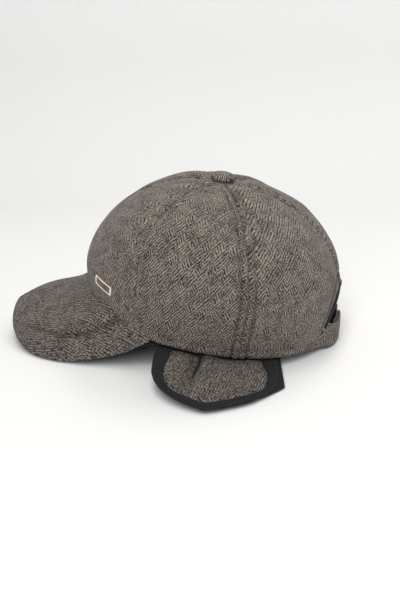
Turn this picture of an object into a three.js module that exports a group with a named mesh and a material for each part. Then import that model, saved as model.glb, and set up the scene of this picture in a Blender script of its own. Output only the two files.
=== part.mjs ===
// A six-panel tweed cap with a curved peak, fold-down earflaps, a back opening
// with an overlapping strap, and a small framed badge. Millimetres, +Z up, the
// peak towards -Y and the wearer's left towards +X. The origin is the centre of
// the head opening. "turn" is an angle round the crown in degrees: 0 at the
// front, 90 at the wearer's left, 180 at the back, negative on the right.

import * as THREE from "three";
import { mergeVertices } from "three/addons/utils/BufferGeometryUtils.js";

// Crown
const FRONT_REACH = 102; // from the centre of the head opening to the front
const BACK_REACH = 98;
const HALF_WIDTH = 83;
const CROWN_HEIGHT = 108;
const APEX_FORWARD = 4.5; // the top lies a little ahead of the centre
const NOSE_UP = 10; // degrees that it leans back as it rests on its peak and its back rim
const WALL = 2.6; // tweed with its lining
const SEAM_GAP = 0.3; // clearance kept between touching pieces
const FRONT_SEAM_TURN = 64.5; // seam between the front and side panels
const BACK_SEAM_TURN = 113.5; // seam between the side and back panels
const PANEL_PUFF = 1.8; // how far a panel's middle swells past its seams
const HEM_HEIGHT = 7; // turned hem round the head opening
const HEM_SWELL = 0.7;
const CROWN_SECTIONS = {
  // waist: height where the wall starts to curve in; roundness: exponent of the
  // curve above it; tuck: share of the reach lost at the head opening
  front: { reach: FRONT_REACH, waist: 24.5, roundness: 1.9, tuck: 0.1 },
  side: { reach: HALF_WIDTH, waist: 48, roundness: 2.17, tuck: 0.05 },
  back: { reach: BACK_REACH, waist: 31, roundness: 2.18, tuck: 0.015 },
};
const CROWN_DENTS = [
  // soft hollows pressed into the cloth, on both sides
  { turn: 58, height: 44, across: 9, up: 17, depth: 1.6 },
  { turn: 84, height: 26, across: 10, up: 14, depth: 0.9 },
  { turn: 132, height: 34, across: 11, up: 16, depth: 1.3 },
  { turn: 150, height: 66, across: 12, up: 14, depth: 0.9 },
];

// Top button
const BUTTON_RADIUS = 8.6;
const BUTTON_RISE = 5.6;
const BUTTON_SHANK_RADIUS = 2.2;
const BUTTON_SHANK_LENGTH = 5;
const PANEL_TIP_RADIUS = 3.2; // hole that the six panel tips leave for the shank

// Peak
const PEAK_END_TURN = 77; // where the peak runs out into the rim
const PEAK_SEAM_RISE = 16; // level of the seam over the forehead
const PEAK_SEAM_DIP = 2; // how much lower it is in the middle
const PEAK_SEAM_STEP = 5; // level of the seam beside the temple
const PEAK_TIP_REACH = 165;
const PEAK_HALF_WIDTH = 84;
const PEAK_TIP_DROP = 26;
const PEAK_SIDE_SAG = 22; // extra drop of the bent-down sides
const PEAK_SAG_PLACE = 0.65; // where that is deepest, from the tip to the end
const PEAK_WAVE = 2.8; // it dips so much near the seam and rises so much near the edge
const PEAK_COVER_WALL = 2;
const PEAK_UNDERSIDE_WALL = 1.6;
const PEAK_UNDERSIDE_REACH = 0.975; // share of the way out where the lining stops
const PEAK_SEAM_GAP = 0.5; // between the peak's inner edge and the crown
const PEAK_BEHIND = 4.4; // crown wall that runs down behind the peak

// Back opening and strap
const OPENING_HALF_TURN = 18.5;
const OPENING_RISE = 42;
const OPENING_SQUARENESS = 2.3;
const BINDING_WIDTH = 3;
const BINDING_WALL = 3.6;
const BINDING_PROUD = 0.5;
const BACK_MM_PER_DEGREE = 1.71; // arc length round the back of the crown
const STRAP_FOOT = -0.4;
const STRAP_RISE = 19;
const STRAP_WALL = 2.2;
const STRAP_PROUD = 0.6;
const STRAP_BULGE = 3.2;
const STRAP_SLANT = 4; // how much further its lower edge stands out
const STRAP_LAP_TURN = 8; // half of the overlap of the two strap ends

// Inner band
const BAND_RISE = 20;
const BAND_WALL = 1.4;
const BAND_END_TURN = 158;
const BAND_CLEARANCE = 2.2; // from the wall, past the hollows pressed into it
const FLAP_ROOM = 2.6;

// Earflaps
const FLAP_FRONT = { turn: 75, splay: 78 }; // degrees from plumb, once past the rim
const FLAP_REAR = { turn: 137, splay: 89 };
const FLAP_HEADING = 100; // turn towards which the whole flap lies out
const FLAP_BEND = 5; // length over which the flap bends outwards
const FLAP_ROOT_RISE = -0.3; // height where it starts to bend
const FLAP_INSET = 5.4; // from the crown's face to the flap's middle layer
const FLAP_TOP = -8; // upper edge of the backing, measured down the flap
const FLAP_FOLD = 5.2; // where the border starts, just past the bend
const FLAP_TOP_BOW = 2.6; // how much the tweed's upper edge bows towards the rim
const FLAP_CLOTH = 1.6;
const FLAP_BACKING = 1.5;
const FLAP_LAYER_GAP = 0.5; // between the backing and what lies on it
const FLAP_MIDDLE = { turn: 105, drop: 30 };
const PANEL_SHRINK = 0.018; // leaves the gap round the tweed panel
const FLAP_DART = { turn: 96.2, from: 14, to: 46, halfWidth: 1.3, depth: 1.1 };
const FLAP_OUTLINE = [
  // turn and drop of the black border's outer edge, and of its inner edge
  { turn: 75.4, drop: FLAP_FOLD, innerTurn: 82, innerDrop: 10.7 },
  { turn: 74, drop: 16, innerTurn: 81, innerDrop: 20 },
  { turn: 74.4, drop: 34.4, innerTurn: 80.1, innerDrop: 33.4 },
  { turn: 76.1, drop: 41.8, innerTurn: 81.3, innerDrop: 41 },
  { turn: 79.2, drop: 48.4, innerTurn: 84, innerDrop: 47.4 },
  { turn: 83.9, drop: 54.3, innerTurn: 87.6, innerDrop: 51 },
  { turn: 90.5, drop: 59.8, innerTurn: 92.6, innerDrop: 54 },
  { turn: 100.9, drop: 66.2, innerTurn: 100.4, innerDrop: 59.2 },
  { turn: 112, drop: 61.2, innerTurn: 110.5, innerDrop: 54.2 },
  { turn: 121.3, drop: 57.2, innerTurn: 119.4, innerDrop: 49.8 },
  { turn: 130, drop: 50.4, innerTurn: 126.2, innerDrop: 46.2 },
  { turn: 134, drop: 44.6, innerTurn: 128.6, innerDrop: 40.5 },
  { turn: 134.9, drop: 32, innerTurn: 129.4, innerDrop: 30.6 },
  { turn: 135, drop: 18, innerTurn: 128.4, innerDrop: 20 },
  { turn: 134.8, drop: FLAP_FOLD, innerTurn: 126.4, innerDrop: 10 },
];
const BACKING_TAIL = [
  // the backing reaches past the border at the rear, in a pointed corner
  { turn: 100.9, drop: 65.4 },
  { turn: 121.3, drop: 56.6 },
  { turn: 131, drop: 49.6 },
  { turn: 139.2, drop: 44.4 },
];
const BACKING_TURNS = { front: 75.3, rear: 136.9 }; // ends of its upper edge
const BACKING_INSET = 0.7;

// Badge
const BADGE_TURN = 44.4;
const BADGE_HEIGHT = 28.8;
const BADGE_TILT = 8.4; // degrees that its front end is raised
const BADGE_WIDTH = 19.7;
const BADGE_TALL = 6.9;
const BADGE_FRAME = 1;
const BADGE_PROUD = 1.3;
const INLAY_PROUD = 0.9;

const TWEED = { color: 0x5d544e, roughness: 0.95, metalness: 0 };
const BLACK_CLOTH = { color: 0x26262a, roughness: 0.9, metalness: 0 };
const GILT = { color: 0xd8cfb4, roughness: 0.35, metalness: 0.8 };
const LEATHER = { color: 0x6e473b, roughness: 0.7, metalness: 0 };

const cap = new THREE.Group();
const up = new THREE.Vector3(0, 0, 1);
const degrees = THREE.MathUtils.degToRad;
const smooth = THREE.MathUtils.smoothstep;
const mix = THREE.MathUtils.lerp;

// The crown's outer face at a turn and a height above the head opening. The
// section between the front, side and back is a blend by squared cosines.
function crownFace(turn, height) {
  const angle = degrees(turn);
  const lengthwise = Math.cos(angle) ** 2;
  const end = Math.cos(angle) > 0 ? CROWN_SECTIONS.front : CROWN_SECTIONS.back;
  const side = CROWN_SECTIONS.side;
  const waist = mix(side.waist, end.waist, lengthwise);
  const roundness = mix(side.roundness, end.roundness, lengthwise);
  const tuck = mix(side.tuck, end.tuck, lengthwise);
  let width = 1 - tuck * (1 - height / waist) ** 2;
  let climb = 0;
  if (height > waist) {
    climb = Math.min((height - waist) / (CROWN_HEIGHT - waist), 1);
    width = (1 - climb ** roundness) ** (1 / roundness);
  }
  return new THREE.Vector3(
    HALF_WIDTH * Math.sin(angle) * width,
    -end.reach * Math.cos(angle) * width - APEX_FORWARD * climb,
    height,
  );
}

// Unit normal of the crown's face, from the two edges of a small patch.
function crownNormal(turn, height) {
  const step = 0.5;
  const across = crownFace(turn + step, height).sub(crownFace(turn - step, height));
  const rise = crownFace(turn, height + step / 2).sub(crownFace(turn, height - step / 2));
  return across.cross(rise).normalize();
}

// Height at which a column's share of its reach has shrunk to the panel tips.
function tipHeight(turn) {
  const angle = degrees(turn);
  const lengthwise = Math.cos(angle) ** 2;
  const end = Math.cos(angle) > 0 ? CROWN_SECTIONS.front : CROWN_SECTIONS.back;
  const waist = mix(CROWN_SECTIONS.side.waist, end.waist, lengthwise);
  const roundness = mix(CROWN_SECTIONS.side.roundness, end.roundness, lengthwise);
  const reach = Math.hypot(HALF_WIDTH * Math.sin(angle), end.reach * Math.cos(angle));
  const climb = (1 - (PANEL_TIP_RADIUS / reach) ** roundness) ** (1 / roundness);
  return mix(waist, CROWN_HEIGHT, climb);
}

// How far the cloth stands off the plain face: panels swell between their
// seams, dents press in, and the hem is thicker.
function clothRelief(turn, height, from, to) {
  const away = 180 - Math.abs(180 - Math.abs(turn));
  const place = (away - from) / (to - from);
  const swell = PANEL_PUFF * Math.sin(Math.PI * THREE.MathUtils.clamp(place, 0, 1)) ** 0.6;
  const nearTip = Math.sqrt(Math.max(1 - height / CROWN_HEIGHT, 0));
  let relief = swell * smooth(height, 4, 40) * smooth(nearTip, 0.02, 0.12);
  for (const dent of CROWN_DENTS) {
    const across = (away - dent.turn) / dent.across;
    const rise = (height - dent.height) / dent.up;
    relief -= dent.depth * Math.exp(-across * across - rise * rise);
  }
  return relief;
}

// A tilt about the X axis that lifts the peak.
function tilted(point) {
  return point.applyAxisAngle(new THREE.Vector3(1, 0, 0), degrees(-NOSE_UP));
}

// Adds a closed solid to the cap from its corner points and triangles.
function addSolid(name, points, triangles, finish) {
  const geometry = new THREE.BufferGeometry();
  const positions = [];
  let volume = 0;
  const placed = points.map((point) => tilted(point.clone()));
  for (const [a, b, c] of triangles) {
    volume += placed[a].dot(placed[b].clone().cross(placed[c]));
  }
  for (const [a, b, c] of triangles) {
    const corners = volume > 0 ? [a, b, c] : [a, c, b];
    for (const corner of corners) positions.push(...placed[corner].toArray());
  }
  geometry.setAttribute("position", new THREE.Float32BufferAttribute(positions, 3));
  const closed = mergeVertices(geometry, 1e-4);
  closed.computeVertexNormals();
  const mesh = new THREE.Mesh(closed, new THREE.MeshStandardMaterial(finish));
  mesh.name = name;
  cap.add(mesh);
}

// A wall between two faces, given by a function of the column, the row and the
// layer (0 for the outer face and 1 for the inner one).
function addWall(name, columns, rows, pointAt, finish) {
  const points = [];
  const triangles = [];
  const index = (column, row, layer) => (layer * (columns + 1) + column) * (rows + 1) + row;
  for (let layer = 0; layer < 2; layer += 1) {
    for (let column = 0; column <= columns; column += 1) {
      for (let row = 0; row <= rows; row += 1) {
        points.push(pointAt(column / columns, row / rows, layer));
      }
    }
  }
  const quad = (a, b, c, d) => triangles.push([a, b, c], [a, c, d]);
  for (let column = 0; column < columns; column += 1) {
    const next = column + 1;
    for (let row = 0; row < rows; row += 1) {
      const above = row + 1;
      quad(index(column, row, 0), index(next, row, 0), index(next, above, 0), index(column, above, 0));
      // the inner face is split along the same diagonal, so that layers nest
      triangles.push([index(column, row, 1), index(next, above, 1), index(next, row, 1)]);
      triangles.push([index(column, row, 1), index(column, above, 1), index(next, above, 1)]);
    }
    quad(index(next, 0, 0), index(column, 0, 0), index(column, 0, 1), index(next, 0, 1));
    quad(index(column, rows, 0), index(next, rows, 0), index(next, rows, 1), index(column, rows, 1));
  }
  for (let row = 0; row < rows; row += 1) {
    const above = row + 1;
    quad(index(0, row, 0), index(0, above, 0), index(0, above, 1), index(0, row, 1));
    const last = columns;
    quad(index(last, above, 0), index(last, row, 0), index(last, row, 1), index(last, above, 1));
  }
  addSolid(name, points, triangles, finish);
}

// A closed loop of four-cornered sections, such as a frame or a border.
function addLoop(name, stations, pointAt, finish) {
  const points = [];
  const triangles = [];
  for (let station = 0; station < stations; station += 1) {
    for (let corner = 0; corner < 4; corner += 1) points.push(pointAt(station, corner));
    for (let corner = 0; corner < 4; corner += 1) {
      const a = station * 4 + corner;
      const b = station * 4 + ((corner + 1) % 4);
      const c = ((station + 1) % stations) * 4 + ((corner + 1) % 4);
      const d = ((station + 1) % stations) * 4 + corner;
      triangles.push([a, b, c], [a, c, d]);
    }
  }
  addSolid(name, points, triangles, finish);
}

const mirrored = (point, side) => point.setX(point.x * side);

// ---- Crown panels --------------------------------------------------------

// Level of the seam between the crown and the peak, above the head opening.
function peakSeamLevel(turn) {
  const away = Math.abs(turn);
  const dip = PEAK_SEAM_DIP * Math.cos(degrees(turn)) ** 2;
  const brow = (PEAK_SEAM_RISE - dip - PEAK_SEAM_STEP) * (1 - smooth(away, 43, 60));
  const temple = PEAK_SEAM_STEP * (1 - smooth(away, 62, PEAK_END_TURN));
  return brow + temple;
}

// Height of the back opening's edge above the head opening at a turn.
function openingLevel(turn) {
  const share = (180 - Math.abs(turn)) / OPENING_HALF_TURN;
  if (share >= 1) return 0;
  return OPENING_RISE * (1 - share ** OPENING_SQUARENESS) ** (1 / OPENING_SQUARENESS);
}

// Lower edge of the crown's cloth.
function lowerEdge(turn) {
  const behind = PEAK_BEHIND * (1 - smooth(Math.abs(turn), PEAK_END_TURN - 8, PEAK_END_TURN + 3));
  return Math.max(peakSeamLevel(turn) - behind, openingLevel(turn));
}

const CROWN_PANELS = [
  { name: "front_panel", from: 0, to: FRONT_SEAM_TURN, columns: 18 },
  { name: "side_panel", from: FRONT_SEAM_TURN, to: BACK_SEAM_TURN, columns: 12 },
  { name: "back_panel", from: BACK_SEAM_TURN, to: 180, columns: 18 },
];
const PANEL_ROWS = 12;

// Turn of a panel's column: evenly spaced, but drawn together over the steep
// foot of the back opening.
function columnTurn(panel, across) {
  const inset = 0.12;
  const from = panel.from + inset;
  const to = panel.to - inset;
  if (panel.name !== "back_panel") return mix(from, to, across);
  const foot = 180 - OPENING_HALF_TURN;
  const split = 0.5;
  if (across <= split) return mix(from, foot, across / split);
  const sweep = ((across - split) / (1 - split)) * 90;
  return mix(to, foot, Math.cos(degrees(sweep)) ** 1.4);
}

function panelPoint(panel, side, across, rise, layer) {
  const turn = columnTurn(panel, across);
  const low = lowerEdge(turn);
  const height = mix(low, tipHeight(turn), Math.sin(degrees(90 * rise)));
  const normal = crownNormal(turn, height);
  const hem = HEM_SWELL * (1 - smooth(height - low, 0, HEM_HEIGHT)) * smooth(turn, 70, 85);
  const relief = clothRelief(turn, height, panel.from, panel.to);
  const lift = relief + hem * (1 - layer) - WALL * layer;
  return mirrored(crownFace(turn, height).addScaledVector(normal, lift), side);
}

for (const [suffix, side] of [["left", 1], ["right", -1]]) {
  for (const panel of CROWN_PANELS) {
    addWall(
      `${panel.name}_${suffix}`,
      panel.columns,
      PANEL_ROWS,
      (across, rise, layer) => panelPoint(panel, side, across, rise, layer),
      TWEED,
    );
  }
}

// ---- Top button ----------------------------------------------------------

// A covered button: a low dome with a shank that passes between the panel tips.
function addButton() {
  const rim = BUTTON_RADIUS;
  const seat = CROWN_HEIGHT + 0.7;
  const profile = [
    new THREE.Vector2(0, seat - BUTTON_SHANK_LENGTH),
    new THREE.Vector2(BUTTON_SHANK_RADIUS, seat - BUTTON_SHANK_LENGTH),
    new THREE.Vector2(BUTTON_SHANK_RADIUS, seat + 0.6),
    new THREE.Vector2(rim * 0.8, seat + 0.2),
  ];
  const domeSteps = 5;
  for (let step = 0; step <= domeSteps; step += 1) {
    const lift = degrees(-15 + (105 * step) / domeSteps);
    const out = step === domeSteps ? 0 : rim * Math.cos(lift);
    profile.push(new THREE.Vector2(out, seat + 1.5 + (BUTTON_RISE - 1.5) * Math.sin(lift)));
  }
  const lathe = new THREE.LatheGeometry(profile, 16);
  lathe.rotateX(Math.PI / 2);
  lathe.translate(0, -APEX_FORWARD, 0);
  lathe.deleteAttribute("uv");
  lathe.deleteAttribute("normal");
  const shape = mergeVertices(lathe, 1e-4);
  const points = [];
  const triangles = [];
  const position = shape.getAttribute("position");
  for (let i = 0; i < position.count; i += 1) {
    points.push(new THREE.Vector3().fromBufferAttribute(position, i));
  }
  for (let i = 0; i < shape.index.count; i += 3) {
    const corners = [shape.index.getX(i), shape.index.getX(i + 1), shape.index.getX(i + 2)];
    if (new Set(corners).size === 3) triangles.push(corners);
  }
  addSolid("top_button", points, triangles, TWEED);
}
addButton();

// ---- Peak ----------------------------------------------------------------

// The peak's outer edge: a broad bow in plan, lowest beside the temples.
function peakEdge(turn) {
  const share = (Math.abs(turn) / PEAK_END_TURN) ** 1.25;
  const sweep = degrees(90 * share);
  const foot = crownFace(PEAK_END_TURN, 0);
  const bow = 4 * Math.sin(sweep) ** 2 * Math.cos(sweep) ** 2;
  const sag = (share / PEAK_SAG_PLACE) ** 1.63 * (Math.max(1 - share, 0) / (1 - PEAK_SAG_PLACE)) ** 0.88;
  return new THREE.Vector3(
    Math.sign(turn) * (foot.x * Math.sin(sweep) + (PEAK_HALF_WIDTH - foot.x) * bow),
    foot.y - (PEAK_TIP_REACH + foot.y) * Math.max(Math.cos(sweep), 0) ** 0.81,
    -PEAK_TIP_DROP * (1 - share ** 2) - PEAK_SIDE_SAG * sag,
  );
}

// The peak's upper face: lines from its seam to its outer edge, each a gentle
// wave that fades out beside the temples.
function peakFace(turn, outwards) {
  const level = peakSeamLevel(turn);
  const inFront = Math.abs(turn) < FRONT_SEAM_TURN;
  const from = inFront ? 0 : FRONT_SEAM_TURN;
  const to = inFront ? FRONT_SEAM_TURN : BACK_SEAM_TURN;
  const proud = clothRelief(turn, level, from, to) + PEAK_SEAM_GAP;
  const seam = crownFace(turn, level).addScaledVector(crownNormal(turn, level), proud);
  const wave = PEAK_WAVE * Math.sin(2 * Math.PI * outwards) * (1 - (turn / PEAK_END_TURN) ** 2);
  return seam.lerp(peakEdge(turn), outwards).addScaledVector(up, -wave);
}

// Direction through the peak's thickness: along the crown's wall at the seam,
// and square to the peak everywhere else.
function peakNormal(turn, outwards) {
  const across = peakFace(turn + 0.5, outwards).sub(peakFace(turn - 0.5, outwards));
  const forward = peakFace(turn, outwards + 0.02).sub(peakFace(turn, outwards - 0.02));
  const square = across.cross(forward).normalize();
  const level = peakSeamLevel(turn);
  if (square.dot(crownNormal(turn, level).add(up)) < 0) square.negate();
  const wall = crownFace(turn, level + 1).sub(crownFace(turn, level - 1)).normalize();
  return wall.lerp(square, smooth(outwards, 0, 0.2)).normalize();
}

const PEAK_COLUMNS = 40;
const PEAK_ROWS = 6;
const PEAK_LAST_TURN = PEAK_END_TURN - 4; // where its cloth stops, beside the rim

addWall("peak_cover", PEAK_COLUMNS, PEAK_ROWS, (across, outwards, layer) => {
  const turn = mix(-PEAK_LAST_TURN, PEAK_LAST_TURN, across);
  const depth = PEAK_COVER_WALL * layer;
  return peakFace(turn, outwards).addScaledVector(peakNormal(turn, outwards), -depth);
}, TWEED);

addWall("peak_underside", PEAK_COLUMNS, PEAK_ROWS, (across, outwards, layer) => {
  const turn = mix(-PEAK_LAST_TURN, PEAK_LAST_TURN, across);
  const place = Math.min(outwards, PEAK_UNDERSIDE_REACH);
  const depth = PEAK_COVER_WALL + SEAM_GAP + PEAK_UNDERSIDE_WALL * layer;
  return peakFace(turn, place).addScaledVector(peakNormal(turn, place), -depth);
}, BLACK_CLOTH);

// ---- Back opening, its binding and the strap ------------------------------

// The opening's outline, narrowed by an inset: half its turn at a height.
function openingHalfTurn(height, inset) {
  const rise = OPENING_RISE - inset;
  const share = Math.max(1 - (Math.max(height, 0) / rise) ** OPENING_SQUARENESS, 0);
  return (OPENING_HALF_TURN - inset / BACK_MM_PER_DEGREE) * share ** (1 / OPENING_SQUARENESS);
}

// A point of the back panels' cloth, on either side of the centre.
function backPoint(turn, height, lift) {
  const relief = clothRelief(turn, height, BACK_SEAM_TURN, 180);
  return crownFace(turn, height).addScaledVector(crownNormal(turn, height), relief + lift);
}

// A folded strip that edges the opening from one end of the strap over to the
// other.
addWall("opening_binding", 22, 1, (across, inwards, layer) => {
  const inset = SEAM_GAP + BINDING_WIDTH * inwards;
  const rise = OPENING_RISE - inset;
  const start = Math.asin(((STRAP_RISE + SEAM_GAP) / rise) ** (OPENING_SQUARENESS / 2));
  const sweep = mix(start, Math.PI - start, across);
  const height = rise * Math.sin(sweep) ** (2 / OPENING_SQUARENESS);
  const share = Math.abs(Math.cos(sweep)) ** (2 / OPENING_SQUARENESS);
  const half = (OPENING_HALF_TURN - inset / BACK_MM_PER_DEGREE) * share;
  const turn = 180 - half * Math.sign(Math.cos(sweep));
  return backPoint(turn, height, mix(BINDING_PROUD, BINDING_PROUD - BINDING_WALL, layer));
}, BLACK_CLOTH);

// The strap bows out from the crown between its sewn ends. Its left end lies
// over its right end, which dips under it.
function strapPoint(end, across, rise, layer) {
  const height = mix(STRAP_FOOT, STRAP_RISE, rise);
  const sewn = 180 - openingHalfTurn(height, SEAM_GAP);
  const away = mix(sewn, 180 + STRAP_LAP_TURN, across);
  const dip = end > 0 ? 0 : smooth(away, 180 - STRAP_LAP_TURN - 6, 180 - STRAP_LAP_TURN - 1);
  const share = (180 - away) / OPENING_HALF_TURN;
  const bow = STRAP_PROUD + (STRAP_BULGE + STRAP_SLANT * (1 - rise)) * Math.max(1 - share * share, 0);
  const lift = bow - dip * (STRAP_WALL + SEAM_GAP) - STRAP_WALL * layer;
  return mirrored(crownFace(away, height).addScaledVector(crownNormal(away, height), lift), end);
}

for (const [name, end] of [["back_strap_left", 1], ["back_strap_right", -1]]) {
  addWall(name, 12, 2, (across, rise, layer) => strapPoint(end, across, rise, layer), TWEED);
}

// ---- Inner band ------------------------------------------------------------

// The band lies against the crown's inside, and stands off it where an earflap
// is folded between the two.
addWall("inner_band", 60, 1, (across, rise, layer) => {
  const turn = mix(-BAND_END_TURN, BAND_END_TURN, across);
  const away = Math.abs(turn);
  const low = lowerEdge(turn);
  const height = mix(low + SEAM_GAP, low + BAND_RISE, rise);
  const flapRoom = smooth(away, 62, 73) * (1 - smooth(away, 137, 148));
  const inset = WALL + BAND_CLEARANCE + FLAP_ROOM * flapRoom + BAND_WALL * layer;
  return crownFace(turn, height).addScaledVector(crownNormal(turn, height), -inset);
}, BLACK_CLOTH);

// ---- Earflaps --------------------------------------------------------------

// A point of an earflap: it hangs plumb inside the rim, bends outwards under it
// and then lies out straight, the whole flap in one direction, flatter towards
// the rear. drop runs down the flap, and lift is the distance off its middle.
function flapPoint(turn, drop, lift) {
  const twist = THREE.MathUtils.clamp((turn - FLAP_FRONT.turn) / (FLAP_REAR.turn - FLAP_FRONT.turn), 0, 1);
  const splay = degrees(mix(FLAP_FRONT.splay, FLAP_REAR.splay, twist));
  const radius = FLAP_BEND / splay;
  const tilt = splay * THREE.MathUtils.clamp(drop / FLAP_BEND, 0, 1);
  const past = Math.max(drop - FLAP_BEND, 0);
  const out = radius * (1 - Math.cos(tilt)) + past * Math.sin(splay);
  const height = FLAP_ROOT_RISE - Math.min(drop, 0) - radius * Math.sin(tilt) - past * Math.cos(splay);
  const heading = degrees(FLAP_HEADING);
  return crownFace(turn, Math.max(height, 0))
    .addScaledVector(crownNormal(turn, 0).setZ(0).normalize(), lift * Math.cos(tilt) - FLAP_INSET)
    .addScaledVector(new THREE.Vector3(Math.sin(heading), -Math.cos(heading), 0), out)
    .setZ(height + lift * Math.sin(tilt));
}

// A place between the rows of a table, from 0 at the first to 1 at the last.
function alongTable(rows, share, turnKey, dropKey) {
  const place = share * (rows.length - 1);
  const row = Math.min(Math.floor(place), rows.length - 2);
  const between = place - row;
  return {
    turn: mix(rows[row][turnKey], rows[row + 1][turnKey], between),
    drop: mix(rows[row][dropKey], rows[row + 1][dropKey], between),
  };
}

// How far the tweed's upper edge bows towards the rim, part of the way along.
const topBow = (share) => FLAP_TOP_BOW * 4 * share * (1 - share);

// The dart pressed into the tweed, fading out down the flap.
function dartDepth(turn, drop) {
  const across = (turn - FLAP_DART.turn) / FLAP_DART.halfWidth;
  return FLAP_DART.depth * Math.exp(-across * across) * (1 - smooth(drop, FLAP_DART.from, FLAP_DART.to));
}

function addFlap(side, suffix) {
  const last = FLAP_OUTLINE.length - 1;
  const sideRows = FLAP_OUTLINE.slice(1, last);
  const topLeft = FLAP_OUTLINE[0];
  const topRight = FLAP_OUTLINE[last];

  addWall(`earflap_panel_${suffix}`, 24, 4, (across, down, layer) => {
    const edge = alongTable(sideRows, across, "innerTurn", "innerDrop");
    const shrink = (value, middle) => mix(value, middle, PANEL_SHRINK);
    const turn = mix(mix(topLeft.innerTurn, topRight.innerTurn, across), edge.turn, down);
    const topDrop = mix(topLeft.innerDrop, topRight.innerDrop, across) - topBow(across);
    const drop = mix(topDrop, edge.drop, down);
    const place = { turn: shrink(turn, FLAP_MIDDLE.turn), drop: shrink(drop, FLAP_MIDDLE.drop) };
    const lift = FLAP_LAYER_GAP + (FLAP_CLOTH - dartDepth(place.turn, place.drop)) * (1 - layer);
    return mirrored(flapPoint(place.turn, place.drop, lift), side);
  }, TWEED);

  const alongSides = 28;
  const alongTop = 10;
  addLoop(`earflap_border_${suffix}`, alongSides + alongTop, (station, corner) => {
    const round = Math.min(station / alongSides, 1);
    const back = Math.max(station - alongSides, 0) / alongTop;
    const outer = corner < 2;
    const keys = outer ? ["turn", "drop"] : ["innerTurn", "innerDrop"];
    const edge = alongTable(FLAP_OUTLINE, round, ...keys);
    const turn = mix(edge.turn, topLeft[keys[0]], back);
    const drop = mix(edge.drop, topLeft[keys[1]], back) - (outer ? 0 : topBow(back));
    const lift = FLAP_LAYER_GAP + (corner === 1 || corner === 2 ? FLAP_CLOTH : 0);
    return mirrored(flapPoint(turn, drop, lift), side);
  }, BLACK_CLOTH);

  const backingRows = [...FLAP_OUTLINE.slice(1, 7), ...BACKING_TAIL];
  const rootDrops = [FLAP_TOP, 0, FLAP_BEND / 3, (FLAP_BEND * 2) / 3]; // inside the rim and round the bend
  const lyingRows = 3;
  addWall(`earflap_backing_${suffix}`, 20, rootDrops.length + lyingRows, (across, down, layer) => {
    const edge = alongTable(backingRows, across, "turn", "drop");
    const topTurn = mix(BACKING_TURNS.front, BACKING_TURNS.rear, across);
    const row = Math.round(down * (rootDrops.length + lyingRows));
    const past = Math.max(row - rootDrops.length, 0) / lyingRows;
    const lying = mix(FLAP_BEND, edge.drop - BACKING_INSET, past);
    const turn = mix(topTurn, edge.turn, past);
    const drop = row < rootDrops.length ? rootDrops[row] : lying;
    return mirrored(flapPoint(turn, drop, -FLAP_BACKING * layer), side);
  }, BLACK_CLOTH);
}

addFlap(1, "left");
addFlap(-1, "right");

// ---- Badge -----------------------------------------------------------------

// A point over the front panel, so many millimetres along the badge and across
// it from its middle.
function badgePoint(along, across, lift) {
  const tilt = degrees(BADGE_TILT);
  const ahead = crownFace(BADGE_TURN - 0.5, BADGE_HEIGHT);
  const behind = crownFace(BADGE_TURN + 0.5, BADGE_HEIGHT);
  const backwards = along * Math.cos(tilt) + across * Math.sin(tilt);
  const turn = BADGE_TURN + backwards / ahead.distanceTo(behind);
  const height = BADGE_HEIGHT + across * Math.cos(tilt) - along * Math.sin(tilt);
  const relief = clothRelief(turn, height, 0, FRONT_SEAM_TURN);
  return crownFace(turn, height).addScaledVector(crownNormal(turn, height), relief + lift);
}

// Walks round a rectangle: the share of the half width and the half height.
function rectanglePlace(station, alongSteps, upSteps) {
  const lap = [alongSteps, upSteps, alongSteps, upSteps];
  const corners = [[-1, -1], [1, -1], [1, 1], [-1, 1]];
  let side = 0;
  let left = station;
  while (left >= lap[side]) {
    left -= lap[side];
    side += 1;
  }
  const from = corners[side];
  const to = corners[(side + 1) % 4];
  return [mix(from[0], to[0], left / lap[side]), mix(from[1], to[1], left / lap[side])];
}

const BADGE_ALONG_STEPS = 6;
const BADGE_UP_STEPS = 2;
addLoop("badge_frame", 2 * (BADGE_ALONG_STEPS + BADGE_UP_STEPS), (station, corner) => {
  const [alongShare, upShare] = rectanglePlace(station, BADGE_ALONG_STEPS, BADGE_UP_STEPS);
  const inset = corner < 2 ? 0 : BADGE_FRAME;
  const lift = SEAM_GAP + (corner === 1 || corner === 2 ? BADGE_PROUD : 0);
  return badgePoint(alongShare * (BADGE_WIDTH / 2 - inset), upShare * (BADGE_TALL / 2 - inset), lift);
}, GILT);

addWall("badge_inlay", BADGE_ALONG_STEPS, 2, (across, rise, layer) => {
  const inset = BADGE_FRAME + SEAM_GAP;
  const along = mix(-1, 1, across) * (BADGE_WIDTH / 2 - inset);
  const high = mix(-1, 1, rise) * (BADGE_TALL / 2 - inset);
  return badgePoint(along, high, SEAM_GAP + INLAY_PROUD * (1 - layer));
}, LEATHER);

export default cap;
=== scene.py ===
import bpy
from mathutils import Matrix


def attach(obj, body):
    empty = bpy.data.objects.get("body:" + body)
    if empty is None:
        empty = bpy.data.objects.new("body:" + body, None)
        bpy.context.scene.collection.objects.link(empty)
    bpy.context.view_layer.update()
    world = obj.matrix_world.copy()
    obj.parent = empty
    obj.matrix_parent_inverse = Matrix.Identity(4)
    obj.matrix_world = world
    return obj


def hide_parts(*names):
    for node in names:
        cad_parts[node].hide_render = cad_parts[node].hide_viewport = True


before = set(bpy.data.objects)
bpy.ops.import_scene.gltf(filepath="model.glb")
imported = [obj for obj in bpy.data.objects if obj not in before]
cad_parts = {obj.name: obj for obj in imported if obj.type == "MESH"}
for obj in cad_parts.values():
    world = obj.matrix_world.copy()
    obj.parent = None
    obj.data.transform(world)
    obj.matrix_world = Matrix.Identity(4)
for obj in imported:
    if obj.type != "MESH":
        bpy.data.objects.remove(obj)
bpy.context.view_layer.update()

import math

import bpy
import numpy as np
from mathutils import Quaternion, Vector

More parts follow.
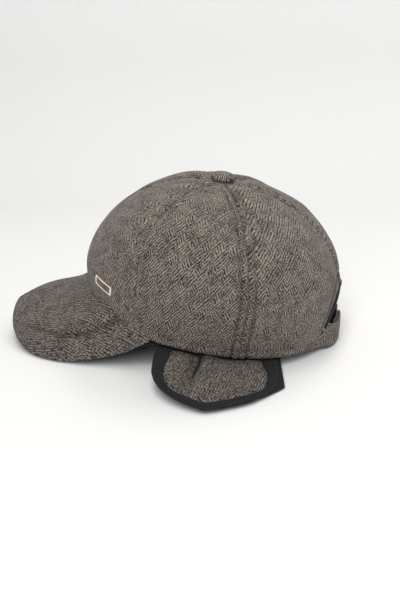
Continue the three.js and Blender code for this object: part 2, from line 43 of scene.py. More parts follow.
# ---- Studio ----------------------------------------------------------------
# A white sweep under five broad soft lamps, with the camera a little above the
# cap and beside it. From behind or below, the sweep is see-through. Lengths are
# in metres. None of it is part of the cap.

scene = bpy.context.scene
scene.view_settings.view_transform = "Standard"
FLOOR_LEVEL = -0.0194


def principled(material_name, settings):
    """A new material with one Principled shader, and the settings put on its own sockets."""
    material = bpy.data.materials.new(material_name)
    material.use_nodes = True
    shader = material.node_tree.nodes["Principled BSDF"]
    for socket, value in settings.items():
        shader.inputs[socket].default_value = value
    return material, material.node_tree, shader


def add_node(tree, kind, *inputs, out=0, **settings):
    """One shader node: its settings, then its inputs in order, each a value or a link."""
    made = tree.nodes.new("ShaderNode" + kind)
    for key, value in settings.items():
        setattr(made, key, value)
    for socket, value in zip(made.inputs, inputs):
        if isinstance(value, bpy.types.NodeSocket):
            tree.links.new(value, socket)
        elif value is not None:
            socket.default_value = value
    return made.outputs[out]


def add_object(name, points, faces, material):
    """A mesh object in the scene, shaded smooth, from its points in metres and its faces."""
    mesh = bpy.data.meshes.new(name)
    mesh.from_pydata(points.reshape(-1, 3).tolist(), [], faces.tolist())
    mesh.polygons.foreach_set("use_smooth", np.ones(len(faces), bool))
    mesh.materials.append(material)
    made = bpy.data.objects.new(name, mesh)
    scene.collection.objects.link(made)
    return made


# From front to back the sweep is a level floor, a quarter circle and then a wall.
SWEEP_REACH, SWEEP_START, SWEEP_RADIUS, SWEEP_TOP = 4, 0.36, 0.16, 0.72
sweep_turn = math.radians(94)
bend = np.radians(np.linspace(0, 90, 24))
back = np.append(-SWEEP_REACH, SWEEP_START + SWEEP_RADIUS * np.append(np.sin(bend), 1))
rise = np.concatenate([[0], SWEEP_RADIUS * (1 - np.cos(bend)), [SWEEP_TOP]])
aside = np.array([-SWEEP_REACH, SWEEP_REACH])[:, None]
sweep_points = np.stack([
    -back * math.sin(sweep_turn) + aside * math.cos(sweep_turn),
    back * math.cos(sweep_turn) + aside * math.sin(sweep_turn),
    FLOOR_LEVEL + rise + 0 * aside], -1)
near = np.arange(len(back) - 1)
sweep_faces = np.stack([near, near + len(back), near + 1 + len(back), near + 1], -1)
floor_material, floor_tree, floor_shader = principled(
    "white_sweep", {"Roughness": 0.9, "Base Color": (0.925, 0.915, 0.91, 1)})
from_behind = add_node(floor_tree, "NewGeometry", out="Backfacing")
clear = add_node(floor_tree, "BsdfTransparent")
see_through = add_node(floor_tree, "MixShader", from_behind, floor_shader.outputs[0], clear)
floor_tree.links.new(see_through, floor_tree.nodes["Material Output"].inputs[0])
floor = add_object("studio_sweep", sweep_points, sweep_faces, floor_material)

world = bpy.data.worlds.new("studio_air")
scene.world = world
world.use_nodes = True
air = world.node_tree.nodes["Background"].inputs
air["Color"].default_value = (0.88, 0.95, 1, 1)
air["Strength"].default_value = 0.25

WARM, COOL = (1, 0.97, 0.92), (0.93, 0.98, 1)
for lamp_name, place, width, power, glow in [
    ("lamp_overhead", (0, 0, 1.5), 0.6, 5.1, WARM),
    ("lamp_behind", (-0.95, 0.1, 1.5), 0.6, 6.0, WARM),
    ("lamp_side", (0.8, 0.1, 1.3), 0.8, 7.6, WARM),
    ("lamp_low", (1.5, 0.1, 1), 1, 8.4, COOL),
    ("lamp_right", (0.2, 1.4, 0.8), 1, 2.8, COOL),
]:
    lamp_data = bpy.data.lights.new(lamp_name, "AREA")
    lamp_data.shape = "DISK"
    lamp_data.size = width
    lamp_data.energy = power
    lamp_data.color = glow
    lamp = bpy.data.objects.new(lamp_name, lamp_data)
    lamp.location = place
    lamp.rotation_euler = (-Vector(place)).to_track_quat("-Z", "Y").to_euler()
    scene.collection.objects.link(lamp)

camera_data = bpy.data.cameras.new("studio_camera")
camera_data.lens = 51.4
camera = bpy.data.objects.new("studio_camera", camera_data)
azimuth, elevation, roll = math.radians(104.7), math.radians(21.97), math.radians(3.15)
aim, distance = Vector((0, -0.0084, 0.00785)), 0.692
away = Vector((math.sin(azimuth) * math.cos(elevation), -math.cos(azimuth) * math.cos(elevation),
               math.sin(elevation)))
camera.location = aim + away * distance
camera.rotation_euler = ((-away).to_track_quat("-Z", "Y") @ Quaternion((0, 0, 1), -roll)).to_euler()
scene.collection.objects.link(camera)
scene.camera = camera

# ---- Crown -------------------------------------------------------------------
# Six gores of herringbone tweed, sewn together from the rim to the button, with
# the seam allowances pressed open and stitched down 5 mm either side of each
# seam. Lengths are in millimetres and turns in degrees: 0 front, 90 left, 180 back.

FRONT_REACH, BACK_REACH, HALF_WIDTH, CROWN_HEIGHT, APEX_FORWARD = 102, 98, 83, 108, 4.5
NOSE_UP, WALL, PANEL_PUFF, SLACK_RISE = 10, 2.6, 1.8, 0.09
FRONT_SEAM_TURN, BACK_SEAM_TURN, GORE_TIP_RADIUS = 64.5, 113.5, 3.2
SIDES = ((1, "left"), (-1, "right"))
SECTION = [  # the section's waist, roundness and tuck, each at the front, side and back
    (24.5, 48, 31), (1.9, 2.17, 2.18), (0.1, 0.05, 0.015)]
DENTS = [  # turn, height, half width in degrees, half height and depth of each soft hollow
    (58, 44, 9, 17, 1.6), (84, 26, 10, 14, 0.9), (132, 34, 11, 16, 1.3), (150, 66, 12, 14, 0.9),
    (138, 99, 15, 5, 1.5)]
RIGHT_DENT = (86, 101, 10, 5, 2.8)  # one more, beside the button in the right side gore
SEAM_DIP, ALLOWANCE, ALLOWANCE_RISE, STITCH_DIP, STITCH_WIDTH = 0.35, 4.9, 0.9, 1.3, 1.1
SEAM_SHARE = {0: 0.7, FRONT_SEAM_TURN: 0.4, BACK_SEAM_TURN: 1, 180: 0.7}  # how strongly each seam shows
DRAWN_IN = {0: 1.5, FRONT_SEAM_TURN: 1.5, BACK_SEAM_TURN: 0.3, 180: 1.5}  # its dip near the button
RING_DIP, RING_RADIUS, RING_WIDTH = 1.2, 15.5, 4.5  # the ring that the button presses in round itself
PEAK_END_TURN, PEAK_SEAM_RISE, PEAK_SEAM_DIP, PEAK_SEAM_STEP, PEAK_BEHIND = 77, 16, 2, 5, 4.4
OPENING_HALF_TURN, OPENING_RISE, OPENING_POWER = 18.5, 42, 2.3
OPENING_SIZE, OPENING_LINE = 34, 8  # the opening's mean size, and its stitched line's distance from it
HEM_RADIUS, HEM_RISE, HEM_INSIDE, HEM_LINE, HEM_PUCKER, RIM_RADIUS = 1.7, 7, 12, 6.4, 3.3, 88
HEM_PROUD, HEM_LINE_DIP, HEM_PUCKER_RISE, OPENING_LINE_DIP = 0.7, 0.9, 0.22, 0.7
INSIDE_ROWS, ROLL_ROWS = 5, 10


def smooth(value, low, high):
    """0 below low, 1 above high, and 3t² − 2t³ of the way t between them."""
    t = np.clip((value - low) / (high - low), 0, 1)
    return t * t * (3 - 2 * t)


def bell(value, middle, width):
    """A bell curve: 1 at the middle, 1/e a width away."""
    return np.exp(-((value - middle) / width) ** 2)


def unit(vectors):
    """Each vector divided by its length."""
    return vectors / np.maximum(np.linalg.norm(vectors, axis=-1, keepdims=True), 1e-9)


def superellipse(share, power):
    """(1 − share^power)^(1/power), which falls from 1 to 0."""
    return (1 - share ** power) ** (1 / power)


def section(turn):
    """Reach, waist, roundness and tuck at a turn: the side's values, blended with the front's
    or the back's by the squared cosine of the turn."""
    cosine = np.cos(np.radians(turn))
    ahead = cosine > 0
    values = [np.where(ahead, FRONT_REACH, BACK_REACH)]
    for front, side, back in SECTION:
        values.append(side + (np.where(ahead, front, back) - side) * cosine ** 2)
    return values


def crown_face(turn, height):
    """The crown's plain outer face. Below the waist its reach shrinks by tuck (1 − height/waist)²;
    above, by a superellipse of climb, which runs from 0 at the waist to 1 at the top."""
    turn, height = np.broadcast_arrays(np.asarray(turn, float), np.asarray(height, float))
    reach, waist, roundness, tuck = section(turn)
    climb = np.clip((height - waist) / (CROWN_HEIGHT - waist), 0, 1)
    width = np.where(height > waist, superellipse(climb, roundness), 1 - tuck * (1 - height / waist) ** 2)
    angle = np.radians(turn)
    return np.stack([HALF_WIDTH * np.sin(angle) * width,
                     -reach * np.cos(angle) * width - APEX_FORWARD * climb, height], -1)


def crown_normal(turn, height):
    """Unit normal: the cross product of a small step round the crown and a small step up it."""
    across = crown_face(turn + 0.5, height) - crown_face(turn - 0.5, height)
    rise = crown_face(turn, height + 0.25) - crown_face(turn, height - 0.25)
    return unit(np.cross(across, rise))


def off_crown(turn, height, lift):
    """A place that far off the crown's plain outer face, along its normal."""
    return crown_face(turn, height) + crown_normal(turn, height) * lift[..., None]


def tip_height(turn, radius):
    """Height where a column of the crown has come within that radius of the top's middle."""
    reach, waist, roundness, _ = section(turn)
    angle = np.radians(turn)
    full = np.hypot(HALF_WIDTH * np.sin(angle), reach * np.cos(angle))
    return waist + (CROWN_HEIGHT - waist) * superellipse(radius / full, roundness)


def dent(turn, height, dent_turn, dent_height, across, up, depth):
    """A soft hollow: its depth times a bell curve of the turns and of the height off its middle."""
    return depth * bell(turn, dent_turn, across) * bell(height, dent_height, up)


def cloth_swell(turn, height, start, end):
    """How far the cloth stands off the plain face: 1.8 sin(π place)^0.6 between its seams, less a
    bell-shaped hollow at each dent."""
    away_turn = 180 - np.abs(180 - np.abs(turn))
    place = np.clip((away_turn - start) / (end - start), 0, 1)
    near_tip = np.sqrt(np.clip(1 - height / CROWN_HEIGHT, 0, 1))
    relief = PANEL_PUFF * np.sin(np.pi * place) ** 0.6
    relief = relief * smooth(height, 4, 40) * smooth(near_tip, 0.02, 0.12)
    for place_and_size in DENTS:
        relief = relief - dent(away_turn, height, *place_and_size)
    return relief


def slack(points):
    """Slight unevenness of limp cloth: five crossing sine waves 0.09 mm high, 19 to 47 mm long."""
    waves = np.random.default_rng(7)
    total = np.zeros(points.shape[:-1])
    for length in (19, 24, 31, 38, 47):
        direction = unit(waves.normal(size=3))
        total += np.sin(points @ direction * (2 * np.pi / length) + waves.uniform(0, 6.28))
    return SLACK_RISE * total


def puckers(turn, rise, pitch):
    """The small waves that a line of stitches draws up along the rim."""
    return rise * np.sin(np.radians(turn) * RIM_RADIUS * 2 * np.pi / pitch)


def seam_relief(turn, height, start, end):
    """The seams' own relief by distance from them: a valley at the seam, a raised allowance beside
    it, a narrow furrow where the allowance is stitched down, a wider dip near the button, and a ring
    pressed in round the button. Also painted shade, 0 to 1, along the stitched furrows, stronger lower
    down, and along each seam close by the button."""
    away_turn = 180 - np.abs(180 - np.abs(turn))
    face = crown_face(turn, height)
    radius = np.hypot(face[..., 0], face[..., 1] + APEX_FORWARD)
    room = smooth(radius, 8, 26)
    lower_down = 0.4 + 0.6 * smooth(height, 90, 30)
    relief = -RING_DIP * bell(radius, RING_RADIUS, RING_WIDTH)
    painted_seam_shade = 0
    for seam_turn in (start, end):
        share = SEAM_SHARE[seam_turn]
        gap = np.radians(np.abs(away_turn - seam_turn)) * radius
        valley = -SEAM_DIP * bell(gap, 0, STITCH_WIDTH) * (0.35 + 0.65 * room)
        pressed = ALLOWANCE_RISE * smooth(gap, 0.4, 2) * (1 - smooth(gap, 3.8, 5.4))
        furrow = bell(gap, ALLOWANCE, STITCH_WIDTH)
        drawn = -DRAWN_IN[seam_turn] * bell(gap, 0, 5) * bell(radius, 22, 11)
        relief = relief + (valley + (pressed - STITCH_DIP * furrow) * room) * share + drawn
        # Painted shade along each seam close by the button.
        painted_button_shade = 0.2 * bell(gap, 0, 3) * smooth(height, 70, 95) * smooth(radius, 4, 10)
        painted_seam_shade = painted_seam_shade + furrow * room * share * lower_down + painted_button_shade
    return relief, painted_seam_shade


def peak_seam_level(turn):
    """Height of the seam between crown and peak: level over the brow, a step down beside the
    temple, and out at the rim."""
    side = np.abs(turn)
    dip = PEAK_SEAM_DIP * np.cos(np.radians(turn)) ** 2
    brow = (PEAK_SEAM_RISE - dip - PEAK_SEAM_STEP) * (1 - smooth(side, 43, 60))
    return brow + PEAK_SEAM_STEP * (1 - smooth(side, 62, PEAK_END_TURN))


def opening_level(turn):
    """Height of the back opening's edge: an arch that is a superellipse of exponent 2.3."""
    share = np.clip((180 - np.abs(turn)) / OPENING_HALF_TURN, 0, 1)
    return OPENING_RISE * superellipse(share, OPENING_POWER)


def lower_edge(turn):
    """Lower edge of the crown's cloth: tucked behind the peak, at the rim, or round the opening."""
    behind = PEAK_BEHIND * (1 - smooth(np.abs(turn), PEAK_END_TURN - 8, PEAK_END_TURN + 3))
    return np.maximum(peak_seam_level(turn) - behind, opening_level(turn))


def placed(points, side):
    """Millimetres in the cap's own level frame, mirrored if asked, tilted nose up, in metres."""
    tilt = math.radians(NOSE_UP)
    x, y, z = points[..., 0] * side, points[..., 1], points[..., 2]
    return np.stack([x, y * math.cos(tilt) + z * math.sin(tilt),
                     z * math.cos(tilt) - y * math.sin(tilt)], -1) / 1000


def lay_cloth(name, points, weave, material, side=1, thickness=0, closed=False,
              hollow=None):
    """A mesh from a grid of points: four neighbours make one face, and the last column joins the
    first if closed. weave is each point's place on the flat cloth, in millimetres, and hollow the
    painted shade it gets, 0 to 1, which darkens a tweed that reads it. Its thickness, in millimetres,
    lies inwards of the points."""
    rows, columns = points.shape[:2]
    index = np.arange(rows * columns).reshape(rows, columns)
    right = np.roll(index, -1, axis=1) if closed else index[:, 1:]
    left = index if closed else index[:, :-1]
    quads = np.stack([left[:-1], right[:-1], right[1:], left[1:]], -1).reshape(-1, 4)
    if side < 0:
        quads = quads[:, ::-1]
    piece = add_object(name, placed(points, side), quads, material)
    layer = piece.data.uv_layers.new(name="weave")
    layer.data.foreach_set("uv", weave.reshape(-1, 2)[quads.ravel()].astype(np.float32).ravel())
    # The hollow attribute carries painted shade for the tweed's colour.
    if hollow is not None:
        depth = piece.data.attributes.new("hollow", "FLOAT", "POINT")
        depth.data.foreach_set("value", np.clip(hollow, 0, 1).astype(np.float32).ravel())
    if thickness:
        wall = piece.modifiers.new("cloth", "SOLIDIFY")
        wall.thickness = thickness / 1000
        wall.offset = -1
        wall.use_even_offset = False
    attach(piece, "root")
    return piece


def on_grain(across, up, grain):
    """A place on the cloth as (along the twill, across it), for cloth cut with its twill lines at
    that angle to the piece's width."""
    turn = np.radians(grain)
    return np.stack([across * np.cos(turn) + up * np.sin(turn),
                     across * np.sin(turn) - up * np.cos(turn)], -1)


def reckon(tree, operation, first, second=None, third=None):
    """A Math node."""
    return add_node(tree, "Math", first, second, third, operation=operation)


def fade(tree, value, low, high):
    """A Map Range node from low..high to 0..1, held at its ends."""
    return add_node(tree, "MapRange", value, low, high, 0, 1)


def noise(tree, place, scale, detail, roughness=0.5, out=0):
    """A Noise node, so many patches to the unit of its place."""
    return add_node(tree, "TexNoise", place, None, scale, detail, roughness, out=out)


def tint(tree, factor, first, second):
    """A Mix node for colours, which are its last two inputs of eight."""
    return add_node(tree, "Mix", factor, *[None] * 5, first, second, out=2, data_type="RGBA")


def roughen(tree, shader, height, strength, distance):
    """A Bump node from that height to the shader's normal, so deep in metres."""
    bump = add_node(tree, "Bump", strength, distance, None, height)
    tree.links.new(bump, shader.inputs["Normal"])


TWEED_DARK = (0.008, 0.0065, 0.006, 1)
TWEED_GREY, TWEED_BROWN = (0.375, 0.334, 0.306), (0.43, 0.34, 0.28)
TWILL_PITCH, CROSS_PITCH, ROW_PITCH, ROW_SHIFT = 1.74, 1.92, 7.6, 5
BLOCK_PITCH, BLOCK_LENGTH, BLOCK_DEPTH, BLOCK_SLANT = 19.4, 9.4, 4.9, 0.525
CROSS_ALONG, CROSS_OVER = 0.885, 0.465


def make_tweed(name, tone_and_shade, finer, clean):
    """Herringbone tweed on the weave's own places. Twill lines 1.74 mm apart run along u. Each
    7.6 mm row of v holds blocks of cross twill, 9.4 of every 19.4 mm, shifted 5 mm a row. tone_and_shade
    is how pale its yarns are, and lower for pieces painted darker as shade; finer how close its specks
    lie, and clean how clearly the twill shows. Where a piece carries the hollow attribute, its colour is
    darkened towards the dark yarn as painted shade."""
    material, tree, shader = principled(
        name, {"Roughness": 0.95, "Sheen Weight": 0.1, "Sheen Roughness": 0.6, "Specular IOR Level": 0.15})
    place = add_node(tree, "UVMap", uv_map="weave")
    drift = noise(tree, place, 0.2, 2, out=1)
    bend = add_node(tree, "VectorMath", drift, (0.5, 0.5, 0.5), operation="SUBTRACT")
    bend = add_node(tree, "VectorMath", bend, (2.2, 2.2, 0), operation="MULTIPLY")
    bent = add_node(tree, "VectorMath", place, bend, operation="ADD")
    along, over = add_node(tree, "SeparateXYZ", bent).node.outputs[:2]

    # Each place's row and block, and its strands: twill lines outside the blocks, cross lines inside.
    row = reckon(tree, "FLOOR", reckon(tree, "DIVIDE", over, ROW_PITCH))
    in_row = reckon(tree, "SUBTRACT", over, reckon(tree, "MULTIPLY", row, ROW_PITCH))
    shifted = reckon(tree, "SUBTRACT", along, reckon(tree, "MULTIPLY", row, ROW_SHIFT))
    slanted = reckon(tree, "MULTIPLY_ADD", in_row, BLOCK_SLANT, shifted)
    in_block = reckon(tree, "FRACT", reckon(tree, "DIVIDE", slanted, BLOCK_PITCH))
    in_block = reckon(tree, "MULTIPLY", in_block, BLOCK_PITCH)
    block = reckon(tree, "MULTIPLY", reckon(tree, "LESS_THAN", in_block, BLOCK_LENGTH),
                   reckon(tree, "LESS_THAN", in_row, BLOCK_DEPTH))
    outside = reckon(tree, "SUBTRACT", 1, block)
    twill = reckon(tree, "SINE", reckon(tree, "MULTIPLY", over, 2 * math.pi / TWILL_PITCH))
    slope = reckon(tree, "MULTIPLY_ADD", over, CROSS_OVER, reckon(tree, "MULTIPLY", along, CROSS_ALONG))
    cross = reckon(tree, "SINE", reckon(tree, "MULTIPLY", slope, 2 * math.pi / CROSS_PITCH))
    strands = reckon(tree, "MULTIPLY_ADD", cross, block, reckon(tree, "MULTIPLY", twill, outside))
    strands = fade(tree, strands, -0.75, 0.85)

    # Single yarns run with the strands; specks, hairs and wide patches lie over all of it.
    long_yarn, short_yarn = [
        noise(tree, add_node(tree, "VectorMath", bent, squeeze, operation="MULTIPLY"), 1, 1)
        for squeeze in ((0.22, 0.9, 1), (0.85, 0.3, 1))]
    yarn = reckon(tree, "MULTIPLY_ADD", short_yarn, block, reckon(tree, "MULTIPLY", long_yarn, outside))
    speck = noise(tree, place, 0.8 * finer, 3, 0.65)
    hair = noise(tree, place, 1.7 * finer, 3)
    patch = noise(tree, place, 0.07, 3)
    clear = fade(tree, noise(tree, place, 0.11, 2), 0.3, 0.62)
    faint = reckon(tree, "MULTIPLY", reckon(tree, "MULTIPLY_ADD", clear, 0.5, 0.5), strands)

    # Their weighted sum goes from dark to pale, which is grey or brown by the fleck.
    level = -2.95
    for part, weight in ((faint, clean), (speck, 3.2), (yarn, 1.1), (hair, 1.4), (patch, 0.5)):
        level = reckon(tree, "MULTIPLY_ADD", part, weight, level)
    shade = fade(tree, level, 0, 1.35)
    fleck = fade(tree, noise(tree, place, 0.55, 2), 0.4, 0.62)
    grey, brown = [(*[part * tone_and_shade for part in pale_yarn], 1) for pale_yarn in (TWEED_GREY, TWEED_BROWN)]
    colour = tint(tree, shade, TWEED_DARK, tint(tree, fleck, grey, brown))
    # Painted shade: the hollow attribute pulls the colour towards the dark yarn.
    crease = add_node(tree, "Attribute", out=2, attribute_name="hollow")
    colour = tint(tree, reckon(tree, "MULTIPLY", crease, 0.8), colour, TWEED_DARK)
    tree.links.new(colour, shader.inputs["Base Color"])
    roughen(tree, shader, reckon(tree, "ADD", strands, hair), 0.6, 0.0005)
    return material


tweed = make_tweed("herringbone_tweed", 0.98, 0.86, 0.95)
GORES = [  # name, first and last turn, columns, the angle its twill lines are cut at, and its cut
    ("front_panel", 0, FRONT_SEAM_TURN, 120, 63, (0.115, 0.185, 0.0135)),
    ("side_panel", FRONT_SEAM_TURN, BACK_SEAM_TURN, 110, 53, (0.095, 0.19, 0.0125)),
    ("back_panel", BACK_SEAM_TURN, 180, 130, 47, (0.12, 0.195, 0.0145)),
]


def gore_turns(name, start, end, columns):
    """Turns of a gore's columns: even, but by the squared-off arch over the opening, drawn together
    at its steep foot."""
    across = np.linspace(0, 1, columns)
    if name != "back_panel":
        return start + (end - start) * across
    foot = 180 - OPENING_HALF_TURN
    sweep = np.clip((across - 0.5) / 0.5, 0, 1) * np.pi / 2
    near = start + (foot - start) * np.clip(across / 0.5, 0, 1)
    return np.where(across <= 0.5, near, end + (foot - end) * np.clip(np.cos(sweep), 0, 1) ** 1.4)


def gore_cloth(turn, start, end, grain, side):
    """A gore's points, their places on the flat cloth and the painted shade they carry. Rows run from
    inside the hem, round its rolled edge of radius 1.7 mm, and up the outer face to the tip. The outer
    face stands off the plain one by the cloth's swell, its seams, its slack and its hem, less the stitched
    line round the opening and, on the right, one more dent."""
    low, top = lower_edge(turn), tip_height(turn, GORE_TIP_RADIUS)
    normal = crown_normal(turn, low)
    out_of_cloth = unit(np.cross(np.gradient(crown_face(turn, low), axis=0), normal))
    out_of_cloth *= np.sign(-out_of_cloth[..., 2:3] + 1e-6)
    height = low + (top - low) * np.sin(np.linspace(0, np.pi / 2, 96))[:, None]
    face = crown_face(turn, height)
    above = height - low
    at_hem = 1 - smooth(above, 0, HEM_RISE)
    line = smooth(turn, 76, 82) * (1 - smooth(turn, 155, 160))
    hem_line = bell(above, HEM_LINE, 0.9) * line
    hem = HEM_PROUD * at_hem * smooth(turn, 70, 85) - HEM_LINE_DIP * hem_line
    hem += puckers(turn, HEM_PUCKER_RISE, HEM_PUCKER) * bell(above, 4.4, 2.4) * line
    relief, painted_seam_shade = seam_relief(turn, height, start, end)
    arch = (((180 - turn) / OPENING_HALF_TURN) ** OPENING_POWER
            + (height / OPENING_RISE) ** OPENING_POWER) ** (1 / OPENING_POWER)
    arch_line = bell((arch - 1) * OPENING_SIZE, OPENING_LINE, 1.5) * smooth(height, 12, 22)
    lift = cloth_swell(turn, height, start, end) + relief + slack(face) + hem
    lift -= OPENING_LINE_DIP * arch_line
    if side < 0:
        lift -= dent(turn, height, *RIGHT_DENT)
    # Painted shade: in the seam furrows, along the stitched lines of the hem and the opening, and on the
    # hem's roll from over the flaps round to the opening.
    under = smooth(HEM_RISE - above, 4, HEM_RISE) * line
    hollow = 0.62 * painted_seam_shade + 0.6 * hem_line + 0.8 * arch_line + 0.35 * under

    over_opening = smooth(turn, 150, 160)[:, None]
    radius = HEM_RADIUS * (1 - 0.35 * over_opening)
    outer = off_crown(turn, height, lift) - out_of_cloth * (at_hem[..., None] * radius)
    middle = outer[0] - normal * radius
    curl = np.linspace(np.pi, 0, ROLL_ROWS + 1)[:-1, None, None]
    roll = middle + normal * radius * np.cos(curl) + out_of_cloth * radius * np.sin(curl)
    depth = np.linspace(1, 0, INSIDE_ROWS + 1)[:-1, None, None] * (HEM_INSIDE * (1 - 0.6 * over_opening))
    inside = middle - normal * radius - out_of_cloth * depth
    points = np.concatenate([inside, roll, outer])

    hem_rows = INSIDE_ROWS + ROLL_ROWS
    up = np.cumsum(np.linalg.norm(np.diff(points, axis=0, prepend=points[:1]), axis=-1), axis=0)
    up = up - up[hem_rows] + low
    across = np.cumsum(np.linalg.norm(np.diff(face, axis=1, prepend=face[:, :1]), axis=-1), axis=1)
    middle_column = np.abs(turn - (start + end) / 2).argmin()
    across -= across[:, middle_column:middle_column + 1]
    across = np.pad(across, ((hem_rows, 0), (0, 0)), "edge")
    hollow = np.pad(hollow, ((hem_rows, 0), (0, 0)), "edge")
    return points, on_grain(across * side, up, grain), hollow


for side, suffix in SIDES:
    for gore, start, end, columns, grain, cut in GORES:
        gore_turn = gore_turns(gore, start, end, columns)
        gore_points, gore_weave, gore_painted_shade = gore_cloth(gore_turn, start, end, grain, side)
        piece = lay_cloth(f"crown_{gore}_{suffix}", gore_points, gore_weave, tweed, side, 0.8,
                          hollow=gore_painted_shade)
        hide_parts(f"{gore}_{suffix}")

# ---- Crown lining ------------------------------------------------------------
# Six gores of black cotton, a little smaller than the tweed, hang inside it and
# are caught in the hem, so they show below and through the back opening.

BLACK_GROUND, BLACK_LINT = (0.00595, 0.00595, 0.00646, 1), (0.0357, 0.0357, 0.0374, 1)
black_cloth, black_tree, black_shader = principled("black_twill", {
    "Roughness": 0.88, "Sheen Weight": 0.04, "Sheen Roughness": 0.5, "Specular IOR Level": 0.12})
black_place = add_node(black_tree, "UVMap", uv_map="weave")
ribs = add_node(black_tree, "TexWave", black_place, 0.7, 0.6, 2, 1, wave_type="BANDS",
                bands_direction="DIAGONAL")
lint = noise(black_tree, black_place, 0.55, 3, 0.75)
black_level = reckon(black_tree, "MULTIPLY_ADD", ribs, 0.35, reckon(black_tree, "MULTIPLY", lint, 0.9))
black_colour = tint(black_tree, fade(black_tree, black_level, 0.42, 0.85), BLACK_GROUND, BLACK_LINT)
black_tree.links.new(black_colour, black_shader.inputs["Base Color"])
roughen(black_tree, black_shader, black_level, 0.35, 0.0003)

LINING_FREE, LINING_GAP, LINING_FOLD, LINING_FOLDS = 2.2, 0.9, 0.5, 26
back_turn = gore_turns("back_panel", BACK_SEAM_TURN, 180, 60)
ahead_turn = np.linspace(-BACK_SEAM_TURN, BACK_SEAM_TURN, 181)[:-1]
lining_turn = np.concatenate([ahead_turn, back_turn, 360 - back_turn[-2:0:-1]])
signed_turn = np.where(lining_turn > 180, lining_turn - 360, lining_turn)
lining_low = lower_edge(signed_turn) + LINING_FREE
lining_rows = np.sin(np.linspace(0, np.pi / 2, 50))[:, None]
lining_height = lining_low + (tip_height(signed_turn, 0.5) - lining_low) * lining_rows
lining_face = crown_face(signed_turn, lining_height)
lining_normal = crown_normal(signed_turn, np.minimum(lining_height, CROWN_HEIGHT - 0.8))
lining_folds = LINING_FOLD * np.sin(np.radians(signed_turn) * LINING_FOLDS)
lining_folds = lining_folds * np.sin(lining_height / CROWN_HEIGHT * np.pi)
lining_points = lining_face + lining_normal * (-WALL - LINING_GAP + lining_folds)[..., None]
lining_reach = np.hypot(lining_face[..., 0], lining_face[..., 1])
lining_weave = np.stack([np.radians(lining_turn) * lining_reach, lining_height * 1.2], -1)
lining = lay_cloth("crown_lining", lining_points, lining_weave, black_cloth, 1, 0.4, closed=True)

# ---- Top button --------------------------------------------------------------
# A metal button covered in the same tweed, drawn tight under its rim, that
# holds the six tips together.

BUTTON_RADIUS, BUTTON_RISE, BUTTON_WAIST, BUTTON_UNDER = 9.5, 5.4, 1.7, 4.6
BUTTON_SEAT = CROWN_HEIGHT + 0.9
BUTTON_GATHER, BUTTON_WARP = 0.02, 0.25
button_slope = np.radians(np.linspace(-60, 89.5, 36))
button_out = BUTTON_RADIUS * np.concatenate([np.linspace(0.02, 0.44, 5), np.cos(button_slope)])[:, None]
button_reach = np.where(button_slope < 0, BUTTON_UNDER, BUTTON_RISE - BUTTON_WAIST)
button_up = np.concatenate([np.linspace(-6.5, -5.2, 5), button_reach * np.sin(button_slope)])
button_up = (BUTTON_WAIST + button_up)[:, None]
around = np.linspace(0, 2 * np.pi, 97)[:-1]
gathers = 1 + BUTTON_GATHER * np.sin(around * 11 + 0.6) * smooth(-button_up, -3.2, -0.4)
warp = BUTTON_WARP * np.sin(around * 2 + 1) * (button_out / BUTTON_RADIUS) ** 2
button_points = np.stack([
    button_out * gathers * np.sin(around),
    -APEX_FORWARD - button_out * gathers * np.cos(around),
    BUTTON_SEAT + button_up + warp], -1)
button = lay_cloth("covered_button", button_points, button_points[..., :2] * 1.1, tweed, closed=True)
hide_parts("top_button")

# ---- Peak --------------------------------------------------------------------
# A stiffened, curved peak covered in tweed that is turned over its edge, with
# black cloth set in under it. Its inner edge is sewn to the crown.

PEAK_TIP_REACH, PEAK_HALF_WIDTH, PEAK_TIP_DROP = 165.8, 84, 26
PEAK_SIDE_SAG, PEAK_SAG_PLACE, PEAK_WAVE, PEAK_GRAIN = 22, 0.65, 2.8, 161
PEAK_EDGE_RADIUS, PEAK_TURNED_IN, PEAK_DEPTH = 1.7, 3.2, 3.6
# The tweed cover stops short of the black lining at each end, so a wedge of the real black lining shows
# there; it stands in for the shade between peak and rim.
PEAK_COVER_TURN, PEAK_LINING_TURN = 73.2, 76
CREASE_ASIDE, CREASE_CURL, CREASE_DEPTH, CREASE_SWELL = 65.5, 22, 0.9, 0.7


def peak_edge(turn):
    """The peak's outer edge: a quarter sweep either side in plan, bowed out between, and lowest
    beside the temples."""
    share = np.clip(np.abs(turn) / PEAK_END_TURN, 0, 1) ** 1.25
    sweep = np.pi / 2 * share
    foot = crown_face(PEAK_END_TURN, 0)
    bow = 4 * np.sin(sweep) ** 2 * np.cos(sweep) ** 2
    sag = (share / PEAK_SAG_PLACE) ** 1.63 * ((1 - share) / (1 - PEAK_SAG_PLACE)) ** 0.88
    return np.stack([
        np.sign(turn) * (foot[0] * np.sin(sweep) + (PEAK_HALF_WIDTH - foot[0]) * bow),
        foot[1] - (PEAK_TIP_REACH + foot[1]) * np.clip(np.cos(sweep), 0, 1) ** 0.81,
        -PEAK_TIP_DROP * (1 - share ** 2) - PEAK_SIDE_SAG * sag], -1)


def peak_face(turn, outwards):
    """The peak's upper face: from seam to edge, less a wave 2.8 sin(2π outwards) that fades out
    beside the temples."""
    level = peak_seam_level(turn)
    in_front = np.abs(turn) < FRONT_SEAM_TURN
    start = np.where(in_front, 0, FRONT_SEAM_TURN)
    end = np.where(in_front, FRONT_SEAM_TURN, BACK_SEAM_TURN)
    seam = off_crown(turn, level, cloth_swell(turn, level, start, end) + 0.5)
    wave = PEAK_WAVE * np.sin(2 * np.pi * outwards) * (1 - (turn / PEAK_END_TURN) ** 2)
    face = seam + (peak_edge(turn) - seam) * outwards[..., None]
    face[..., 2] -= wave
    return face


